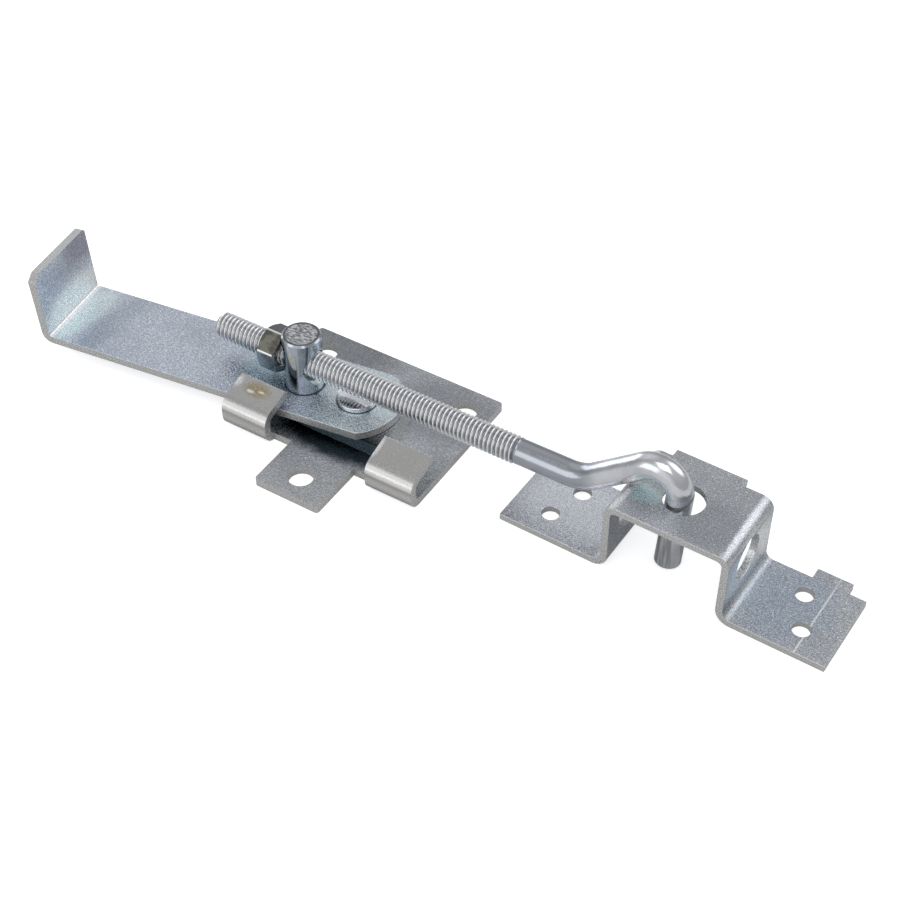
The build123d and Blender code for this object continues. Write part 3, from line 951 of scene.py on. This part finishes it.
def settings():
    """The scene's own values of every property group."""
    return bpy.context.scene.latch_sizes, bpy.context.scene.latch_colours, bpy.context.scene.latch_stage


class LATCH_OT_base_plate(bpy.types.Operator):
    """Builds the stamped base plate"""

    bl_idname = "latch.base_plate"
    bl_label = "Base plate"

    def execute(self, context):
        sizes, colours, _ = settings()

        def cut(centres, normals):
            lip_end = (normals[:, 1] > FACING) & (centres[:, 2] > 3 * PLATE_T)
            return sheared(centres, normals, np.array((1.0, 0.0, 0.0)), PLATE_T) | lip_end

        piece = sheet_copy("plate_skin", "base_plate", sizes.edge_round, cut)
        material = sheet_material(
            "plate zinc",
            tuple(colours.sheet),
            tuple(colours.edge),
            grain_scale=2100.0,
            fleck=0.6,
            stains_and_light=PLATE_STAINS_AND_SHADOW,
            marks=plate_marks,
            late_stains_and_highlights=EAR_STAINS_AND_HIGHLIGHTS,
        )
        worn(piece, "base_plate", "base", material)
        return {"FINISHED"}


class LATCH_OT_lever(bpy.types.Operator):
    """Builds the lever with its finger tab"""

    bl_idname = "latch.lever"
    bl_label = "Lever"

    def execute(self, context):
        sizes, colours, _ = settings()
        along, across = turned_axes(LEVER_TURN)

        def cut(centres, normals):
            tab_top = (np.abs(normals @ along) < 0.5) & (centres[:, 2] > 3 * LEVER_TOP)
            return sheared(centres, normals, across, LEVER_TOP) | tab_top

        piece = sheet_copy("lever_skin", "lever", sizes.edge_round, cut)
        material = sheet_material(
            "lever zinc",
            tuple(colours.lever),
            tuple(colours.edge),
            grain_scale=1700.0,
            fleck=0.85,
            stains_and_light=LEVER_STAINS_AND_LIGHT,
            marks=lever_marks,
        )
        worn(piece, "lever", "lever", material)
        return {"FINISHED"}


class LATCH_OT_keeper(bpy.types.Operator):
    """Builds the hat-shaped keeper"""

    bl_idname = "latch.keeper"
    bl_label = "Keeper"

    def execute(self, context):
        sizes, colours, _ = settings()
        _, across = turned_axes(KEEPER_TURN)

        def cut(centres, normals):
            return sheared(centres, normals, across, STRIP_T)

        piece = sheet_copy("keeper_skin", "keeper", sizes.edge_round, cut)
        material = sheet_material(
            "keeper zinc",
            tuple(colours.sheet),
            tuple(colours.edge),
            grain_scale=2300.0,
            fleck=0.65,
            stains_and_light=KEEPER_STAINS_AND_LIGHT,
            marks=keeper_marks,
        )
        worn(piece, "keeper", "hook", material)
        return {"FINISHED"}


class LATCH_OT_pivot_rivet(bpy.types.Operator):
    """Builds the pivot rivet"""

    bl_idname = "latch.pivot_rivet"
    bl_label = "Pivot rivet"

    def execute(self, context):
        _, colours, _ = settings()
        piece = closed_surface("rivet_body", rivet_rings(), math.radians(40))
        material = turned_material("rivet zinc", tuple(colours.turned), rough=0.1, grain_depth=0.004 * MM)
        worn(piece, "pivot_rivet", "base", material)
        return {"FINISHED"}


class LATCH_OT_swivel_post(bpy.types.Operator):
    """Builds the swivel post"""

    bl_idname = "latch.swivel_post"
    bl_label = "Swivel post"

    def execute(self, context):
        _, colours, _ = settings()

        def cut(centres, normals):
            return (normals[:, 2] > 0.99) & (centres[:, 2] > ROD_Z)

        piece = sheet_copy("post_body", "swivel_post", POST_EDGE_ROUND, cut)
        worn(piece, "swivel_post", "post", post_material(tuple(colours.turned)))
        return {"FINISHED"}


class LATCH_OT_hook_rod(bpy.types.Operator):
    """Builds the threaded rod with its hook"""

    bl_idname = "latch.hook_rod"
    bl_label = "Hook rod"

    def execute(self, context):
        sizes, colours, _ = settings()
        rings, valley = rod_rings(sizes.thread_pitch, sizes.thread_depth)
        piece = closed_surface("rod_body", rings, math.radians(50), valley=valley)
        colour = tuple(colours.turned)
        material = turned_material("rod zinc", colour, rough=0.16, grain_depth=0.006 * MM, marks=rod_marks)
        worn(piece, "hook_rod", "hook", material)
        return {"FINISHED"}


class LATCH_OT_hex_nut(bpy.types.Operator):
    """Builds the hexagon nut"""

    bl_idname = "latch.hex_nut"
    bl_label = "Hexagon nut"

    def execute(self, context):
        _, colours, _ = settings()
        piece = looped_surface("nut_body", nut_rings(), math.radians(18))
        colour = tuple(colours.nut)
        material = turned_material("nut zinc", colour, rough=0.2, grain_depth=0.004 * MM, marks=nut_marks)
        worn(piece, "hex_nut", "nut", material)
        return {"FINISHED"}


class LATCH_OT_stage(bpy.types.Operator):
    """Builds the floor, the light and the camera"""

    bl_idname = "latch.stage"
    bl_label = "Stage"

    def execute(self, context):
        _, _, stage = settings()
        add_floor(stage.floor_tone)
        add_sky(stage.sky)
        add_lights()
        add_camera()
        context.scene.view_settings.view_transform = "Standard"
        return {"FINISHED"}


def add_floor(tone):
    """Plain pale floor just under the mounting plane, lifted towards white where the camera sees it."""
    sides = ((-1, -1), (1, -1), (1, 1), (-1, 1))
    corners = [(x * FLOOR_HALF, y * FLOOR_HALF, -FLOOR_DROP) for x, y in sides]
    mesh = bpy.data.meshes.new("floor")
    mesh.from_pydata(corners, [], [(0, 1, 2, 3)])
    floor = bpy.data.objects.new("floor", mesh)
    bpy.context.scene.collection.objects.link(floor)
    paint = Shader("pale floor", metallic=0.0, roughness=0.9)
    paint.colour((tone, tone, tone))
    paint.shader.inputs["Specular IOR Level"].default_value = 0.0
    paint.shader.inputs["Emission Color"].default_value = (1, 1, 1, 1)
    seen = paint.nodes.new("ShaderNodeLightPath").outputs["Is Camera Ray"]
    paint.feed(paint.maths("MULTIPLY", seen, FLOOR_GLOW), paint.shader.inputs["Emission Strength"])
    floor.data.materials.append(paint.material)


def add_sky(strength):
    """Light from all round: an even sky, paler overhead, with a few broad glows and one shade on it.

    Each glow's tone grows with the cosine of the angle from its direction. The camera sees a pale backdrop.
    """
    world = bpy.data.worlds.new("studio")
    bpy.context.scene.world = world
    world.use_nodes = True
    make = NodeMaker(world.node_tree)
    background = make.nodes["Background"]
    background.inputs["Strength"].default_value = strength
    direction = make.nodes.new("ShaderNodeTexCoord").outputs["Generated"]
    bands = make.nodes.new("ShaderNodeValToRGB")
    bands.color_ramp.interpolation = "EASE"
    stops = bands.color_ramp.elements
    first, second = stops[0], stops[1]
    added = [stops.new(0.5) for _ in SKY_TONES[2:]]
    for stop, (place, tone) in zip((first, second, *added), SKY_TONES):
        stop.color = (tone, tone, tone, 1)
        stop.position = place
    make.feed(make.split(direction)["Z"], bands.inputs["Fac"])
    sky = bands.outputs["Color"]
    for way, spread, tone in SKY_GLOWS:
        near = make.vector_maths("DOT_PRODUCT", direction, Vector(way).normalized())["Value"]
        glow = tuple(tone * part for part in GLOW_TINT)
        sky = make.blend(make.ramp(near, *spread), sky, glow, "ADD")
    seen = make.nodes.new("ShaderNodeLightPath").outputs["Is Camera Ray"]
    make.feed(make.blend(seen, sky, BACKDROP), background.inputs["Color"])


def add_lights():
    """Large soft lights: one over the object and one from the front left."""
    for name, place, size, power in SOFT_LIGHTS:
        data = bpy.data.lights.new(name, "AREA")
        data.shape = "SQUARE"
        data.size = size
        data.energy = power
        light = bpy.data.objects.new(name, data)
        light.location = place
        light.rotation_mode = "QUATERNION"
        light.rotation_quaternion = (CAMERA_TARGET - Vector(place)).to_track_quat("-Z", "Y")
        bpy.context.scene.collection.objects.link(light)


def add_camera():
    """Camera at the photograph's angle, back from its target, then rolled."""
    level = math.cos(CAMERA_ELEVATION)
    back = Vector(
        (math.sin(CAMERA_AZIMUTH) * level, -math.cos(CAMERA_AZIMUTH) * level, math.sin(CAMERA_ELEVATION))
    )
    right = Vector((math.cos(CAMERA_AZIMUTH), math.sin(CAMERA_AZIMUTH), 0.0))
    up = back.cross(right)
    data = bpy.data.cameras.new("camera")
    data.lens = CAMERA_LENS
    data.sensor_width = 36.0
    data.clip_start = 0.01
    camera = bpy.data.objects.new("camera", data)
    bpy.context.scene.collection.objects.link(camera)
    turned = Matrix((right, up, back)).transposed() @ Matrix.Rotation(CAMERA_ROLL, 3, "Z")
    place = CAMERA_TARGET + back * CAMERA_DISTANCE
    camera.matrix_world = Matrix.Translation(place) @ turned.to_4x4()
    bpy.context.scene.camera = camera


PIECES = ("base_plate", "lever", "keeper", "pivot_rivet", "swivel_post", "hook_rod", "hex_nut", "stage")


class LATCH_PT_panel(bpy.types.Panel):
    """Lists the latch's pieces and their settings"""

    bl_label = "Jamb latch"
    bl_idname = "LATCH_PT_panel"
    bl_space_type = "VIEW_3D"
    bl_region_type = "UI"
    bl_category = "Latch"

    def draw(self, context):
        layout = self.layout
        for group in (context.scene.latch_sizes, context.scene.latch_colours, context.scene.latch_stage):
            for name in group.__annotations__:
                layout.prop(group, name)
        for name in PIECES:
            layout.operator(f"latch.{name}")


CLASSES = (
    LatchSizes,
    LatchColours,
    LatchStage,
    LATCH_OT_base_plate,
    LATCH_OT_lever,
    LATCH_OT_keeper,
    LATCH_OT_pivot_rivet,
    LATCH_OT_swivel_post,
    LATCH_OT_hook_rod,
    LATCH_OT_hex_nut,
    LATCH_OT_stage,
    LATCH_PT_panel,
)


def register():
    """Registers the classes and hangs the settings on the scene."""
    for cls in CLASSES:
        bpy.utils.register_class(cls)
    bpy.types.Scene.latch_sizes = bpy.props.PointerProperty(type=LatchSizes)
    bpy.types.Scene.latch_colours = bpy.props.PointerProperty(type=LatchColours)
    bpy.types.Scene.latch_stage = bpy.props.PointerProperty(type=LatchStage)


def unregister():
    """Takes the settings and the classes away again."""
    del bpy.types.Scene.latch_stage
    del bpy.types.Scene.latch_colours
    del bpy.types.Scene.latch_sizes
    for cls in reversed(CLASSES):
        bpy.utils.unregister_class(cls)


def main():
    """Builds every piece in order."""
    register()
    for name in PIECES:
        getattr(bpy.ops.latch, name)()
    bpy.context.view_layer.update()


if __name__ == "__main__":
    main()
